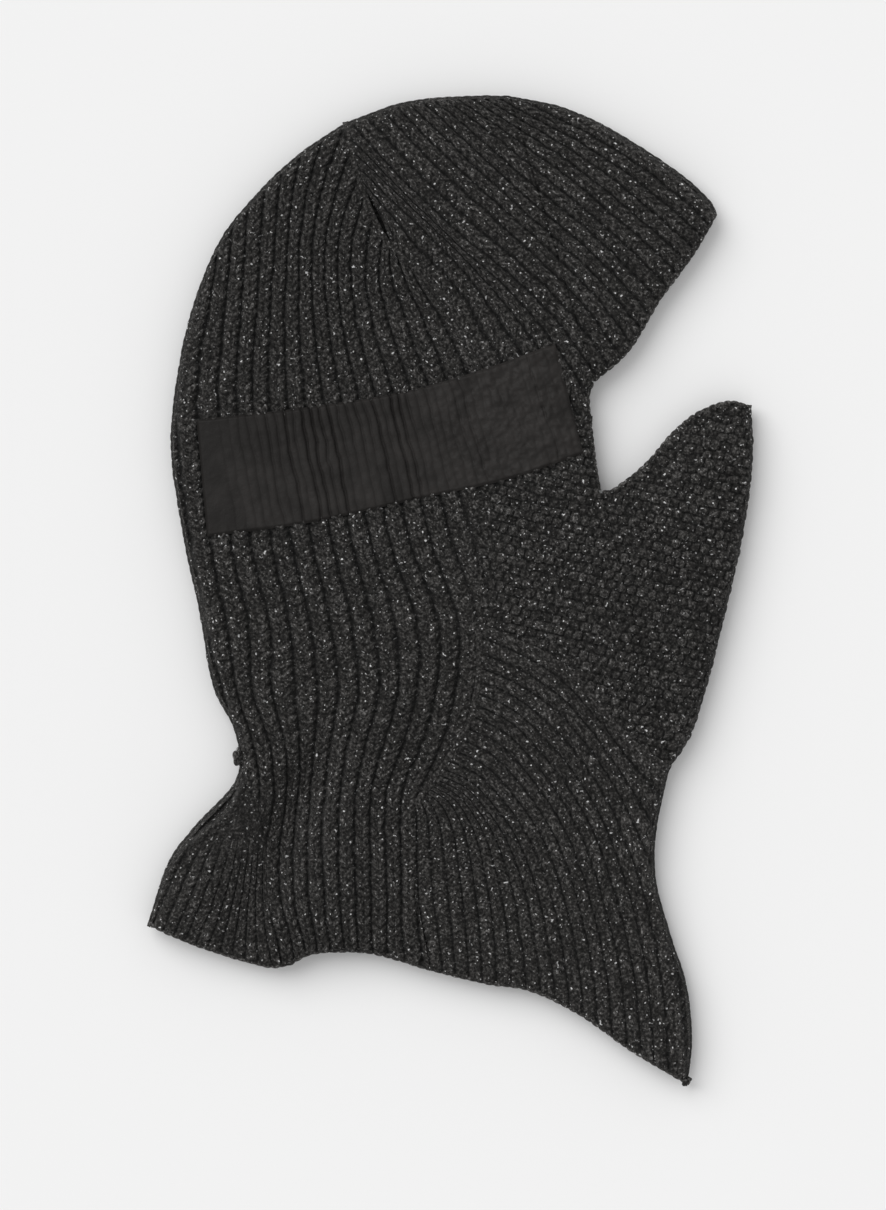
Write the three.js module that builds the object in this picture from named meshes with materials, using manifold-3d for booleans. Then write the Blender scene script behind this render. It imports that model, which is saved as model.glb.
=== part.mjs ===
// Knitted balaclava with a bonded patch over each ear, lying flat on its left side with the face towards +X.
// Millimetres. X and Y lie in the surface that it rests on, +Y points to the crown, and +Z is up.
// The right side of the garment is the upper layer of knit and the left side is the lower one.
// The mask and the brim each turn back over the head on a fold line, so they are bodies of their own.
import * as THREE from 'three';
import { mergeVertices } from 'three/addons/utils/BufferGeometryUtils.js';
import Module from 'manifold-3d';

const wasm = await Module();
wasm.setup();

// ---------- driving dimensions ----------
const KNIT = 4.2; // thickness of the chunky rib knit
const HOLLOW = 6.6; // space left between the two layers
const PATCH = 1.2; // thickness of a coated patch
const EDGE_WIDTH = 4.4; // cast-off edges and selvedges
const FOLD_WIDTH = 4.2; // the knit where it turns round from one layer to the other
const SEAM_WIDTH = 2.4; // jaw, mitre and crown seams
const SEAM_PROUD = 0.8; // how far a seam stands out of the upper layer
const SEAM_INNER = 1.2; // how far a seam ends short of the knit's inner face
const GAP = 0.3; // clearance between touching pieces
const STEP = 7; // spacing of points along a curve
const UPPER = KNIT + HOLLOW; // underside of the upper layer
const TOP = UPPER + KNIT; // top of the upper layer
const TALL = 40; // a cutter runs this far above and below the rest
const REACH = 90; // how far a fold line's cutter reaches to one side
const EXTEND = 12; // how far a fold line's cutter runs past the line's ends
const SAME = 0.01; // two corners nearer than this are one

// ---------- corners that neighbouring pieces share ----------
const CROWN = [-44, 197];
const BRIM_FOLD_TOP = [25, 208.2];
const BRIM_TIP = [112.6, 158];
const BRIM_ROOT = [60.9, 87.2];
const FACE_MIDDLE = [59.8, 72];
const NOTCH = [63.8, 42.2];
const MASK_TIP = [127, 78];
const CHIN = [92.5, -75];
const HEM_FRONT = [100, -208.4];
const HEM_MIDDLE = [-8.4, -160.2];
const HEM_BACK = [-127.6, -141];
const CHEEK = [11.8, -14.9];
const MITRE_END = [-14.7, -90];

// ---------- the outline and the lines inside it, each a smooth curve through a few points ----------
const CURVES = {
  brimTop: [BRIM_FOLD_TOP, [48.3, 203.1], [71.4, 192.2], [96.6, 175.8], [109, 164.5], BRIM_TIP],
  crownTop: [CROWN, [-18.9, 205.6], [8.4, 208.2], BRIM_FOLD_TOP],
  back: [
    CROWN, [-63, 184.2], [-79, 169.5], [-95.8, 149.3], [-107.1, 123.3], [-114.2, 94.7], [-117.6, 60],
    [-112.1, 21.2], [-105.8, -8.2], [-100, -39.7], [-90.5, -60], [-90, -79], [-107.1, -98.5],
    [-118.5, -114], HEM_BACK,
  ],
  hemBack: [HEM_BACK, [-105, -150.5], [-79, -158.3], [-68, -158], [-56.7, -153.1], [-33.6, -153.1], HEM_MIDDLE],
  hemFront: [HEM_MIDDLE, [14.7, -165.7], [33.6, -168.8], [54.6, -179.1], [75.6, -193.8], HEM_FRONT],
  neckFront: [HEM_FRONT, [102, -188], [99.5, -165], [92.4, -142.6], [86.8, -121], [87.2, -100], CHIN],
  maskFront: [CHIN, [101.5, -61], [109, -38], [117, -6], [123.9, 25.4], [127.6, 55], MASK_TIP],
  maskTop: [NOTCH, [69.3, 43.8], [81.9, 54], [94.5, 68.3], [106, 76.5], [117.6, 80], MASK_TIP],
  faceTop: [BRIM_ROOT, [59, 81], FACE_MIDDLE],
  faceLow: [FACE_MIDDLE, [60.9, 62], [62, 53], NOTCH],
  brimEdge: [BRIM_ROOT, [75.6, 100.2], [88.2, 120.8], [100.8, 138], [108.4, 150], BRIM_TIP],
  jaw: [CHEEK, [46.2, -31.3], [71.4, -59], [82.3, -68.5], CHIN],
  mitre: [CHEEK, [11.8, -37.6], [6.3, -58.6], [-5, -76], MITRE_END],
  neckSplit: [MITRE_END, [-14.5, -125], HEM_MIDDLE],
  dart: [
    CROWN, [-38, 172], [-28, 148.5], [-14.7, 134.8], [2, 116], [10, 98], [20, 82], [38, 73.5], FACE_MIDDLE,
  ],
  maskFold: [NOTCH, CHIN],
  brimFold: [BRIM_ROOT, BRIM_FOLD_TOP],
};

const vector = ([x, y]) => new THREE.Vector2(x, y);

// Points along one curve, about STEP apart.
function along(name) {
  const points = CURVES[name].map(vector);
  const curve = points.length === 2 ? new THREE.LineCurve(...points) : new THREE.SplineCurve(points);
  return curve.getSpacedPoints(Math.max(3, Math.round(curve.getLength() / STEP)));
}

// One line through several curves, one after another, each turned round where that is needed.
function path(...names) {
  const line = along(names[0]);
  for (const name of names.slice(1)) {
    const next = along(name);
    const meets = (p) => Math.min(p.distanceTo(next[0]), p.distanceTo(next[next.length - 1])) < SAME;
    if (!meets(line[line.length - 1])) line.reverse();
    if (line[line.length - 1].distanceTo(next[0]) > SAME) next.reverse();
    line.push(...next.slice(1));
  }
  return line;
}

// The closed outline that curves make when they meet end to end.
const outline = (...names) => path(...names).slice(1);

// The outline of a strip beside a line, from a to b to its left, made longer at both ends by extra.
function strip(line, a, b, extra) {
  const points = line.map((p) => p.clone());
  const last = points.length - 1;
  const reach = (end, before) => end.clone().sub(before).setLength(Math.abs(extra)).multiplyScalar(Math.sign(extra));
  points[0].add(reach(points[0], points[1]));
  points[last].add(reach(points[last], points[last - 1]));
  const side = (offset) => points.map((p, i) => {
    const ahead = points[Math.min(i + 1, last)].clone().sub(points[Math.max(i - 1, 0)]).normalize();
    return new THREE.Vector2(p.x - ahead.y * offset, p.y + ahead.x * offset);
  });
  return [...side(a), ...side(b).reverse()];
}

// ---------- solids ----------
function prism(loop, low, high) {
  const shape = new THREE.Shape(loop);
  const geometry = new THREE.ExtrudeGeometry(shape, { depth: high - low, bevelEnabled: false });
  return geometry.translate(0, 0, low);
}

function toManifold(geometry) {
  const bare = geometry.clone();
  bare.deleteAttribute('normal');
  bare.deleteAttribute('uv');
  const merged = mergeVertices(bare, 1e-4);
  const vertProperties = new Float32Array(merged.attributes.position.array);
  const triVerts = new Uint32Array(merged.index.array);
  return new wasm.Manifold(new wasm.Mesh({ numProp: 3, vertProperties, triVerts }));
}

function toGeometry(solid) {
  const mesh = solid.getMesh();
  const geometry = new THREE.BufferGeometry();
  geometry.setAttribute('position', new THREE.BufferAttribute(mesh.vertProperties, 3));
  geometry.setIndex(new THREE.BufferAttribute(mesh.triVerts, 1));
  geometry.computeVertexNormals();
  return geometry;
}

// A solid less everything that the given loops cover, from low to high.
function cutBy(geometry, loops, low = -TALL, high = TALL) {
  const cut = (solid, loop) => solid.subtract(toManifold(prism(loop, low, high)));
  return toGeometry(loops.reduce(cut, toManifold(geometry)));
}

// ---------- strips: the curves each one follows, and the side of them on which its knit lies ----------
const FOLDS = {
  back_fold: { curves: ['back'], inward: 1 },
  crown_fold: { curves: ['crownTop'], inward: -1 },
  brim_top_fold: { curves: ['brimTop'], inward: -1 },
  mask_front_seam: { curves: ['maskFront'], inward: 1 },
  neck_front_fold: { curves: ['neckFront'], inward: 1 },
};
const EDGES = {
  hem_edge: { curves: ['hemBack', 'hemFront'], inward: 1 },
  face_edge: { curves: ['faceTop', 'faceLow'], inward: -1 },
  mask_top_edge: { curves: ['maskTop'], inward: -1 },
  brim_edge: { curves: ['brimEdge'], inward: 1 },
};
const SEAMS = { jaw_seam: 'jaw', mitre_seam: 'mitre', crown_dart: 'dart' };

// grow makes a strip wider and longer all round: it is then the cutter that leaves a gap about the strip.
function borderLoop({ curves, inward }, width, grow = 0) {
  const extra = grow > 0 ? grow : -GAP / 2;
  return strip(path(...curves), -inward * grow, inward * (width + grow), extra);
}

const foldLoop = (name, grow) => borderLoop(FOLDS[name], FOLD_WIDTH, grow);
const edgeLoop = (name, grow) => borderLoop(EDGES[name], EDGE_WIDTH, grow);

function seamLoop(name, grow = 0) {
  const half = SEAM_WIDTH / 2 + grow;
  return strip(along(SEAMS[name]), -half, half, grow > 0 ? 2 : -1);
}

// Everything beside a fold line, from half a gap off it. side is 1 for its left and -1 for its right.
const beside = (name, side) => strip(along(name), (side * GAP) / -2, side * REACH, EXTEND);

const CHEEK_SIDE = beside('maskFold', -1);
const MASK_SIDE = beside('maskFold', 1);
const BROW_SIDE = beside('brimFold', 1);
const BRIM_SIDE = beside('brimFold', -1);
const NECK_SPLIT = strip(along('neckSplit'), -GAP / 2, GAP / 2, EXTEND / 2);

const foldCuts = (...names) => names.map((name) => foldLoop(name, GAP));
// A fold and all that lies just outside it, which trims an edge that runs into the fold.
const foldTrims = (...names) => names.map((name) => {
  const { curves, inward } = FOLDS[name];
  return strip(path(...curves), -inward * EXTEND, inward * (FOLD_WIDTH + GAP), GAP);
});
const edgeCuts = (...names) => names.map((name) => edgeLoop(name, GAP));
const seamCuts = (...names) => names.map((name) => seamLoop(name, GAP));

// ---------- materials ----------
const standard = (color, roughness) => new THREE.MeshStandardMaterial({ color, roughness, metalness: 0 });
const charcoal = standard(0x303032, 0.95);
const edging = standard(0x3c3c3e, 0.95);
const coated = standard(0x2f2d2b, 0.6);

const garment = new THREE.Group();

function add(name, geometry, material) {
  const mesh = new THREE.Mesh(geometry, material);
  mesh.name = name;
  garment.add(mesh);
}

// ---------- the patches, bonded on the outer face over each ear ----------
const PATCH_TOP = [[-106.3, 71.6], [-62, 76.5], [-21, 83], [12, 92], [44, 103.5]];
const PATCH_LOW = [[56, 57.5], [24, 46.5], [-12.6, 38.5], [-58, 28.5], [-101.8, 22.5]];

// The patch's outline, moved out by grow.
function patchLoop(grow = 0) {
  const moved = (sign) => ([x, y]) => new THREE.Vector2(x + Math.sign(x) * grow, y + sign * grow);
  return [...PATCH_TOP.map(moved(1)), ...PATCH_LOW.map(moved(-1))];
}

add('ear_patch_right', prism(patchLoop(), TOP + GAP, TOP + GAP + PATCH), coated);
add('ear_patch_left', prism(patchLoop(), 0, PATCH), coated);

// ---------- the knit, once for each layer ----------
const LAYERS = [
  { side: 'left', low: 0, high: KNIT, seamLow: 0, seamHigh: KNIT - SEAM_INNER },
  { side: 'right', low: UPPER, high: TOP, seamLow: UPPER + SEAM_INNER, seamHigh: TOP + SEAM_PROUD },
];

const PANELS = {
  head_panel: {
    loop: outline('back', 'dart', 'faceLow', 'maskFold', 'jaw', 'mitre', 'neckSplit', 'hemBack'),
    cuts: [
      ...foldCuts('back_fold', 'crown_fold'), ...edgeCuts('hem_edge', 'face_edge'),
      ...seamCuts('jaw_seam', 'mitre_seam', 'crown_dart'), MASK_SIDE, NECK_SPLIT,
    ],
  },
  brow_panel: {
    loop: outline('crownTop', 'brimFold', 'faceTop', 'dart'),
    cuts: [...foldCuts('back_fold', 'crown_fold'), ...edgeCuts('face_edge'), ...seamCuts('crown_dart'), BRIM_SIDE],
  },
  brim_panel: {
    loop: outline('brimTop', 'brimEdge', 'brimFold'),
    cuts: [...foldCuts('brim_top_fold'), ...edgeCuts('brim_edge'), BROW_SIDE],
  },
  mask_panel: {
    loop: outline('maskTop', 'maskFront', 'maskFold'),
    cuts: [...foldCuts('mask_front_seam'), ...edgeCuts('mask_top_edge'), CHEEK_SIDE],
  },
  neck_front_panel: {
    loop: outline('jaw', 'neckFront', 'hemFront', 'neckSplit', 'mitre'),
    cuts: [
      ...foldCuts('neck_front_fold'), ...edgeCuts('hem_edge'), ...seamCuts('jaw_seam', 'mitre_seam'),
      MASK_SIDE, NECK_SPLIT,
    ],
  },
};

// What each edge and seam gives way to.
const EDGE_CUTS = {
  hem_edge: foldTrims('back_fold', 'neck_front_fold'),
  face_edge: [MASK_SIDE],
  mask_top_edge: [...foldTrims('mask_front_seam'), CHEEK_SIDE],
  brim_edge: [...foldTrims('brim_top_fold'), BROW_SIDE],
};
const SEAM_CUTS = {
  jaw_seam: [...foldCuts('neck_front_fold'), MASK_SIDE],
  mitre_seam: seamCuts('jaw_seam'),
  crown_dart: [...foldCuts('back_fold', 'crown_fold'), ...edgeCuts('face_edge'), BRIM_SIDE],
};

for (const { side, low, high, seamLow, seamHigh } of LAYERS) {
  for (const [name, { loop, cuts }] of Object.entries(PANELS)) {
    let geometry = cutBy(prism(loop, low, high), cuts);
    if (side === 'left') geometry = cutBy(geometry, [patchLoop(GAP)], -TALL, PATCH + GAP);
    add(`${name}_${side}`, geometry, charcoal);
  }
  for (const name of Object.keys(EDGES)) {
    add(`${name}_${side}`, cutBy(prism(edgeLoop(name), low, high), EDGE_CUTS[name]), edging);
  }
  for (const name of Object.keys(SEAMS)) {
    const seam = cutBy(prism(seamLoop(name), seamLow, seamHigh), SEAM_CUTS[name]);
    const patched = side === 'left' ? [-TALL, PATCH + GAP] : [TOP, TALL];
    add(`${name}_${side}`, cutBy(seam, [patchLoop(GAP)], ...patched), charcoal);
  }
}

// ---------- the folds and the mask's front seam, which join the two layers ----------
const FOLD_CUTS = {
  back_fold: [],
  crown_fold: [...foldCuts('back_fold'), BRIM_SIDE],
  brim_top_fold: [BROW_SIDE],
  mask_front_seam: [CHEEK_SIDE],
  neck_front_fold: [MASK_SIDE],
};
for (const name of Object.keys(FOLDS)) {
  add(name, cutBy(prism(foldLoop(name), 0, TOP), FOLD_CUTS[name]), edging);
}

// ---------- the gathered stitch at the nape, where the back of the neck pulls in ----------
const TACK = { x: -91.6, y: -70, z: TOP / 2, wide: 2.2, long: 3.6, tall: 5 };
const tack = new THREE.SphereGeometry(1, 12, 8);
tack.scale(TACK.wide, TACK.long, TACK.tall);
tack.translate(TACK.x, TACK.y, TACK.z);
add('nape_gather', tack, edging);

export default garment;
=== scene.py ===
import math

import bpy
import numpy as np
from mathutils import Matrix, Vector
from mathutils.kdtree import KDTree


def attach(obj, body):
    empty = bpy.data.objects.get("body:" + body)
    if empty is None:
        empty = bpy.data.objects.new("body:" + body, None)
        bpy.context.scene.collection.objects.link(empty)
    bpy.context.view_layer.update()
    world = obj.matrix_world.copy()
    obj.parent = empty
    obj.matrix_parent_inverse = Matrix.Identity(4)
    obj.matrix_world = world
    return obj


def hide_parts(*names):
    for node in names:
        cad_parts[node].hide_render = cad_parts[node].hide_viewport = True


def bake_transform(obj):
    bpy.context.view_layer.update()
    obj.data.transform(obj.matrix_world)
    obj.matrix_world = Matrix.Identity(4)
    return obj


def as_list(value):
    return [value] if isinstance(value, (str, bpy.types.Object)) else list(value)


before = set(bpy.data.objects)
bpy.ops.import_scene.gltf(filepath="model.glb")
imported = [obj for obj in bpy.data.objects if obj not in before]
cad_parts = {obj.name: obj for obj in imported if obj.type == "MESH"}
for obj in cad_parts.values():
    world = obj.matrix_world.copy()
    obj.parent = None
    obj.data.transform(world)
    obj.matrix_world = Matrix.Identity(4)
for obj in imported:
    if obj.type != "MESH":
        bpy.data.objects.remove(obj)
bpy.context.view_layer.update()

# A chunky rib-knit balaclava lying flat on its left side, its face towards +X and its crown towards +Y.
# Lengths are in millimetres until a mesh is made; MM turns them into Blender's metres.
MM = 0.001
SEED = 7
UPPER, LOWER = "right", "left"  # the side of the garment that each layer of knit is

# ---------- the garment's build, in millimetres ----------
KNIT = 3.6           # thickness of the knit between its grooves
FOLD = 6.4           # how far in from the outline the knit has turned flat
STRIP = 1.9          # how far in a fold's own strip of knit reaches
MIDDLE = 6.6         # height of the folds' outermost line above the surface
FLAT_TOP = 12.4      # height of the upper layer just inside a fold
OPEN_TOP = 10.6      # height of the upper layer at an open edge
LOW_FACE = 2.4       # height of the lower layer's outer face between its ribs
PUFF = 3.4           # how much the head's middle stands above its rim
GRID = 0.62          # spacing of the knit mesh's points
LIP = 1.9            # radius of an open edge's rounded rim
EDGE_GAP = LIP - 0.4  # how far the knit stops short of an open edge

# ---------- rib patterns: how far the relief stands up, in millimetres ----------
RIB_RELIEF = 2.3
FINE_RELIEF = 1.5
FAN_RELIEF = 1.75
WAFFLE_RELIEF = 1.9

# ---------- corners that neighbouring pieces share ----------
CROWN = (-44, 197)
BRIM_FOLD_TOP = (25, 208.2)
BRIM_TIP = (112.6, 158)
BRIM_ROOT = (60.9, 87.2)
FACE_MIDDLE = (59.8, 72)
NOTCH = (63.8, 42.2)
MASK_TIP = (127, 78)
CHIN = (92.5, -75)
HEM_FRONT = (100, -208.4)
HEM_MIDDLE = (-8.4, -160.2)
HEM_BACK = (-127.6, -141)
CHEEK = (11.8, -14.9)
MITRE_END = (-14.7, -90)
NAPE = (-98, -66)

CURVES = {
    "brimTop": [BRIM_FOLD_TOP, (48.3, 203.1), (71.4, 192.2), (96.6, 175.8), (109, 164.5), BRIM_TIP],
    "crownTop": [CROWN, (-18.9, 205.6), (8.4, 208.2), BRIM_FOLD_TOP],
    "back": [
        CROWN, (-63, 184.2), (-79, 169.5), (-95.8, 149.3), (-107.1, 123.3), (-114.2, 94.7), (-117.6, 60),
        (-112.1, 21.2), (-105.8, -8.2), (-100, -39.7), (-90.5, -60), (-90, -79), (-107.1, -98.5),
        (-118.5, -114), HEM_BACK,
    ],
    "hemBack": [
        HEM_BACK, (-105, -150.5), (-79, -158.3), (-68, -158), (-56.7, -153.1), (-33.6, -153.1), HEM_MIDDLE,
    ],
    "hemFront": [HEM_MIDDLE, (14.7, -165.7), (33.6, -168.8), (54.6, -179.1), (75.6, -193.8), HEM_FRONT],
    "neckFront": [
        HEM_FRONT, (102, -188), (99.5, -165), (92.4, -142.6), (86.8, -121), (87.2, -100), CHIN,
    ],
    "maskFront": [CHIN, (101.5, -61), (109, -38), (117, -6), (123.9, 25.4), (127.6, 55), MASK_TIP],
    "maskTop": [NOTCH, (69.3, 43.8), (81.9, 54), (94.5, 68.3), (106, 76.5), (117.6, 80), MASK_TIP],
    "faceTop": [BRIM_ROOT, (59, 81), FACE_MIDDLE],
    "faceLow": [FACE_MIDDLE, (60.9, 62), (62, 53), NOTCH],
    "brimEdge": [BRIM_ROOT, (75.6, 100.2), (88.2, 120.8), (100.8, 138), (108.4, 150), BRIM_TIP],
    "jaw": [CHEEK, (46.2, -31.3), (71.4, -59), (82.3, -68.5), CHIN],
    "tip": [NAPE, (-82, -86), (-77.5, -104), (-77.3, -125), (-74, -142), (-70, -165)],
    "mitre": [CHEEK, (11.8, -37.6), (6.3, -58.6), (-5, -76), MITRE_END],
    "neckSplit": [MITRE_END, (-14.5, -125), HEM_MIDDLE],
    "dart": [
        CROWN, (-38, 172), (-28, 148.5), (-14.7, 134.8), (2, 116), (10, 98), (20, 82), (38, 73.5),
        FACE_MIDDLE,
    ],
    "cheek": [CHEEK, (13, 5), (12, 25), (17, 50), (32, 66), FACE_MIDDLE],
    "maskFold": [NOTCH, CHIN],
    "brimFold": [BRIM_ROOT, BRIM_FOLD_TOP],
}


# ---------- curves ----------
def catmull(points, per_span):
    """A smooth Catmull-Rom line through points, with the same number of steps in each span."""
    p = np.asarray(points, float)
    if len(p) == 2:
        t = np.linspace(0, 1, per_span + 1)[:, None]
        return p[0] * (1 - t) + p[1] * t
    ext = np.vstack([2 * p[0] - p[1], p, 2 * p[-1] - p[-2]])
    t = np.linspace(0, 1, per_span, endpoint=False)[:, None]
    spans = []
    for i in range(len(p) - 1):
        a, b, c, d = ext[i:i + 4]
        spans.append(0.5 * ((2 * b) + (c - a) * t + (2 * a - 5 * b + 4 * c - d) * t**2
                            + (3 * b - a - 3 * c + d) * t**3))
    return np.vstack(spans + [p[-1:]])


def lengths(line):
    """How far along the line each of its points is."""
    return np.concatenate([[0], np.cumsum(np.linalg.norm(np.diff(line, axis=0), axis=1))])


def resampled(line, step):
    """The same line with points step apart."""
    s = lengths(line)
    n = max(2, int(round(s[-1] / step)))
    at = np.linspace(0, s[-1], n + 1)
    return np.stack([np.interp(at, s, line[:, k]) for k in range(line.shape[1])], axis=1)


def path(*names, step=1.0):
    """One line through named curves, one after another, each turned round where that is needed."""
    line = catmull(CURVES[names[0]], 24)
    for name in names[1:]:
        following = catmull(CURVES[name], 24)
        ends = following[[0, -1]]
        if np.linalg.norm(ends - line[-1], axis=1).min() > 0.01:
            line = line[::-1]
        if np.linalg.norm(following[0] - line[-1]) > 0.01:
            following = following[::-1]
        line = np.vstack([line, following[1:]])
    return resampled(line, step)


def outline(*names):
    """The closed loop that named curves make."""
    return path(*names)[:-1]


# ---------- distances, held on a square raster over the garment ----------
class Raster:
    """A smooth field over the plane, worked out once on a raster and read by bilinear interpolation."""

    step = 1.0
    low = np.array([-146.0, -228.0])
    size = (292, 456)

    def __init__(self, field):
        nx, ny = self.size
        x = self.low[0] + self.step * np.arange(nx + 1)
        y = self.low[1] + self.step * np.arange(ny + 1)
        points = np.stack(np.meshgrid(x, y, indexing="ij"), axis=-1).reshape(-1, 2)
        self.values = field(points).reshape(nx + 1, ny + 1)

    def __call__(self, points):
        g = (points - self.low) / self.step
        g = np.clip(g, 0, np.array(self.size) - 1e-6)
        i = g.astype(int)
        f = g - i
        v = self.values
        x, y = i[:, 0], i[:, 1]
        return ((v[x, y] * (1 - f[:, 0]) + v[x + 1, y] * f[:, 0]) * (1 - f[:, 1])
                + (v[x, y + 1] * (1 - f[:, 0]) + v[x + 1, y + 1] * f[:, 0]) * f[:, 1])


def distance_to(line, points):
    """Distance from each point to a line, by the nearest of closely spaced points on it."""
    close = resampled(line, 0.35)
    tree = KDTree(len(close))
    for i, (x, y) in enumerate(close):
        tree.insert((x, y, 0), i)
    tree.balance()
    return np.array([tree.find((x, y, 0))[2] for x, y in points])


def inside(loop, points):
    """Whether each point is inside a closed loop."""
    a, b = loop, np.roll(loop, -1, axis=0)
    columns, place = np.unique(points[:, 0], return_inverse=True)
    out = np.zeros(len(points), bool)
    order = np.argsort(place, kind="stable")
    starts = np.searchsorted(place[order], np.arange(len(columns) + 1))
    for k, x in enumerate(columns):
        crosses = (a[:, 0] > x) != (b[:, 0] > x)
        p, q = a[crosses], b[crosses]
        at = np.sort(p[:, 1] + (x - p[:, 0]) * (q[:, 1] - p[:, 1]) / (q[:, 0] - p[:, 0]))
        here = order[starts[k]:starts[k + 1]]
        out[here] = np.searchsorted(at, points[here, 1]) % 2 == 1
    return out


def signed(loop):
    """A raster of the distance to a closed loop, positive inside it."""
    closed = np.vstack([loop, loop[:1]])
    return Raster(lambda p: np.where(inside(loop, p), 1, -1) * distance_to(closed, p))


random = np.random.default_rng(SEED)
speckle = Raster(lambda p: random.random(len(p)))


def lumps(points, size, turn=0):
    """Smooth unevenness from -0.5 to 0.5 with lumps of the given size."""
    return speckle(np.roll(points, turn, axis=1) / size + 7.3 * turn) - 0.5


def smooth(low, high, x):
    t = np.clip((x - low) / (high - low), 0, 1)
    return t * t * (3 - 2 * t)


FOLDED = ["back", "crownTop", "brimTop", "maskFront", "neckFront"]
OPEN = ["hemBack", "hemFront", "faceTop", "faceLow", "maskTop", "brimEdge"]
to_fold = Raster(lambda p: np.min([distance_to(path(n, step=2.5), p) for n in FOLDED], axis=0))
to_open = Raster(lambda p: np.min([distance_to(path(n, step=2.5), p) for n in OPEN], axis=0))


# ---------- the lie of the upper layer ----------
def bump(points, centre, along, across, angle):
    """A smooth hill of height 1 with its long axis turned by angle degrees from +X."""
    c, s = math.cos(math.radians(angle)), math.sin(math.radians(angle))
    d = points - np.array(centre)
    u, v = d[:, 0] * c + d[:, 1] * s, -d[:, 0] * s + d[:, 1] * c
    return np.exp(-0.5 * ((u / along)**2 + (v / across)**2))


PUFF_REACH = 30      # how far in from the rim most of the puff has risen
OPEN_REACH = 16      # how far in from an open edge the layer still lies lower
OPEN_STEEPER = 1.3   # how much faster the layer rises from an open edge than from a fold

# Soft hills and hollows in the upper layer: centre, half length, half width, turn, height.
FORMS = [
    ((-68, -97), 25, 7.5, 70, -8.5),
    ((-56, -80), 12, 8, 20, -2.4),
    ((-94, -112), 30, 9, 52, 3.4),
    ((-48, -118), 30, 7, 84, 2.0),
    ((-36, -62), 20, 9, 80, 1.4),
    ((2, 114), 24, 7, -36, -3.2),
    ((-30, 122), 12, 9, 80, -1.4),
    ((-14, -62), 26, 5, 62, -1.2),
    ((40, -52), 40, 8, -42, 1.4),
    ((60, -130), 46, 9, -66, 1.2),
    ((84, -112), 26, 6, -80, -1.8),
    ((90, 10), 50, 10, 72, 1.0),
]


# The back of the neck has curled over: a pale ridge inside the outline, and a valley between the two.
RIDGE = [(-84, -72), (-88, -83), (-93, -94), (-103.7, -102), (-111, -108.4), (-119, -118)]
RIDGE_HEIGHT, RIDGE_WIDTH = 2.6, 1.7
VALLEY_DEPTH, VALLEY_WIDTH, VALLEY_IN, VALLEY_REACH = 1.4, 1.5, 2.6, 5
to_ridge = Raster(lambda p: distance_to(catmull(RIDGE, 12), p))


def upper_height(points):
    """Height of the upper layer's outer face above the surface, before its ribs."""
    fold, edge = to_fold(points), to_open(points)
    body = 1 - np.exp(-np.minimum(fold, edge * OPEN_STEEPER) / PUFF_REACH)
    top = FLAT_TOP + PUFF * body
    top += (OPEN_TOP - FLAT_TOP) * (1 - smooth(0, OPEN_REACH, edge))
    for centre, long, wide, angle, height in FORMS:
        top += height * bump(points, centre, long, wide, angle) * smooth(2, 14, fold)
    ridge = to_ridge(points)
    top += RIDGE_HEIGHT * np.exp(-(ridge / RIDGE_WIDTH)**2) * smooth(0.5, 3, fold)
    valley = VALLEY_DEPTH * np.exp(-((fold - VALLEY_IN) / VALLEY_WIDTH)**2)
    top -= valley * np.exp(-(ridge / VALLEY_REACH)**2)
    near = np.clip(fold / FOLD, 0, 1)
    return MIDDLE + (top - MIDDLE) * np.sqrt(np.clip(1 - (1 - near)**2, 0, 1))


def lower_height(points):
    """Height of the lower layer's outer face, which lies on the surface."""
    near = np.clip(to_fold(points) / FOLD, 0, 1)
    return MIDDLE - (MIDDLE - LOW_FACE) * np.sqrt(np.clip(1 - (1 - near)**2, 0, 1))


# ---------- stitch patterns ----------
def hashed(i, j, k=0):
    """A fixed random number from 0 to 1 for each stitch."""
    h = np.sin(i * 127.1 + j * 311.7 + k * 74.7 + SEED) * 43758.5453
    return h - np.floor(h)


def stitches(a, b, lean, salt):
    """Leaning stitches in columns: how far out a point is, its place, its stitch's number and roundness."""
    column = np.round(a)
    f = a - column
    t = np.abs(f)
    slant = b - lean * t
    row = np.floor(slant)
    c = slant - row - 0.5
    t = np.minimum(t * (1 + 0.9 * c**2), 0.5)
    number = hashed(column, row, np.sign(f) + salt)
    along = (1 - np.abs(2 * c)**2.2)**0.7
    return t, slant, number, along


def rib(a, b, relief):
    """Chunky ribs with deep grooves: height, each stitch's own number, and place along its yarn."""
    t, slant, number, along = stitches(a, b, 1.9, 0)
    across = np.where(t < 0.22, 0.62 + 0.38 * np.sin(math.pi / 2 * t / 0.22),
                      np.cos(math.pi / 2 * (t - 0.22) / 0.28)**1.05)
    height = relief * (across * (0.30 + 0.70 * along) * (0.82 + 0.36 * number))
    return height, number, np.stack([t * 7, slant * 4], axis=1)


def fine_rib(a, b, relief):
    """Smoother, closer ribs with narrow grooves."""
    t, slant, number, along = stitches(a, b, 1.5, 3)
    across = np.where(t < 0.2, 0.84 + 0.16 * np.sin(math.pi / 2 * t / 0.2),
                      np.cos(math.pi / 2 * (t - 0.2) / 0.3)**0.6)
    height = relief * (across * (0.5 + 0.5 * along) * (0.85 + 0.3 * number))
    return height, number, np.stack([t * 6, slant * 3.4], axis=1)


def waffle(a, b, relief):
    """Offset rows of round bumps with dark holes between."""
    row = np.round(b)
    shifted = a + 0.5 * (row % 2)
    column = np.round(shifted)
    fa, fb = shifted - column, b - row
    number = hashed(column, row, 11)
    fa2, fb2 = np.abs(2 * fa), np.abs(2 * fb)
    height = relief * (1 - fa2**2.2)**0.7 * (1 - fb2**2.4)**0.6 * (0.72 + 0.56 * number)
    return height, number, np.stack([fa * 4 + fb * 3, fb * 4], axis=1)


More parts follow.
